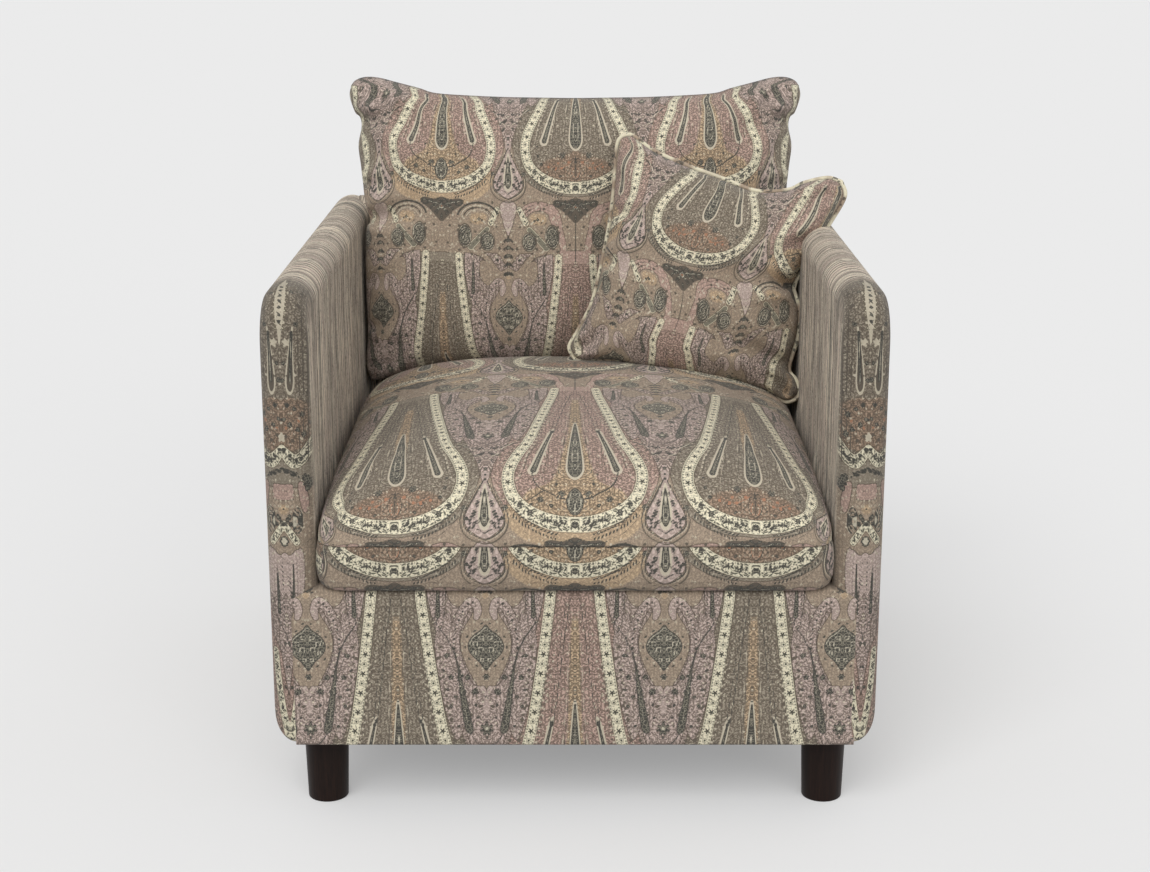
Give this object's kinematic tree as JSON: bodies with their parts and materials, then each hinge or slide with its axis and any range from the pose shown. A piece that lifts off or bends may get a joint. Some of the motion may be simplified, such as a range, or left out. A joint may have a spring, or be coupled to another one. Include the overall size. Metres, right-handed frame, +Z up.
{
  "type": "armchair",
  "caption": "Upholstered armchair with thin rounded arms, a domed loose seat cushion, a loose back pillow, a piped throw pillow and short tapered legs.",
  "frame": {"origin": "on the floor under the middle of the chair's box", "axes": "+Z up, the chair faces -Y, +X to the right as seen from in front"},
  "size_m": [0.79, 0.888, 0.8872],
  "materials": {
    "upholstery_cloth": "matt woven cloth with a paisley print",
    "welt_cloth": "matt woven cloth over cord",
    "frame_hardwood": "planed, unfinished",
    "dark_stained_wood": "semi-gloss dark stain",
    "spring_steel": "bright drawn wire and sheet",
    "deck_cloth": "felted pad under plain cloth",
    "elastic_webbing": "woven elastic strap",
    "black_lining": "thin non-woven lining"
  },
  "bodies": {
    "root": {"left_arm_pad": "upholstery_cloth", "right_arm_pad": "upholstery_cloth", "front_rail_cover": "upholstery_cloth", "back_pad": "upholstery_cloth", "outside_back": "upholstery_cloth", "seat_cushion": "upholstery_cloth", "back_pillow": "upholstery_cloth", "throw_pillow": "upholstery_cloth", "throw_pillow_welt": "welt_cloth", "front_rail": "frame_hardwood", "rear_rail": "frame_hardwood", "back_top_rail": "frame_hardwood", "back_cross_rail": "frame_hardwood", "left_front_post": "frame_hardwood", "left_back_post": "frame_hardwood", "left_side_rail": "frame_hardwood", "left_arm_rail": "frame_hardwood", "right_front_post": "frame_hardwood", "right_back_post": "frame_hardwood", "right_side_rail": "frame_hardwood", "right_arm_rail": "frame_hardwood", "front_left_corner_block": "frame_hardwood", "front_right_corner_block": "frame_hardwood", "rear_left_corner_block": "frame_hardwood", "rear_right_corner_block": "frame_hardwood", "front_left_leg": "dark_stained_wood", "front_right_leg": "dark_stained_wood", "rear_left_leg": "dark_stained_wood", "rear_right_leg": "dark_stained_wood", "front_left_leg_bolt": "spring_steel", "front_right_leg_bolt": "spring_steel", "rear_left_leg_bolt": "spring_steel", "rear_right_leg_bolt": "spring_steel", "seat_spring_1": "spring_steel", "seat_spring_2": "spring_steel", "seat_spring_3": "spring_steel", "seat_spring_4": "spring_steel", "seat_spring_5": "spring_steel", "front_clip_1": "spring_steel", "front_clip_2": "spring_steel", "front_clip_3": "spring_steel", "front_clip_4": "spring_steel", "front_clip_5": "spring_steel", "rear_clip_1": "spring_steel", "rear_clip_2": "spring_steel", "rear_clip_3": "spring_steel", "rear_clip_4": "spring_steel", "rear_clip_5": "spring_steel", "seat_deck": "deck_cloth", "back_webbing_1": "elastic_webbing", "back_webbing_2": "elastic_webbing", "back_webbing_3": "elastic_webbing", "back_webbing_4": "elastic_webbing", "dust_cover": "black_lining"}
  },
  "joints": []
}
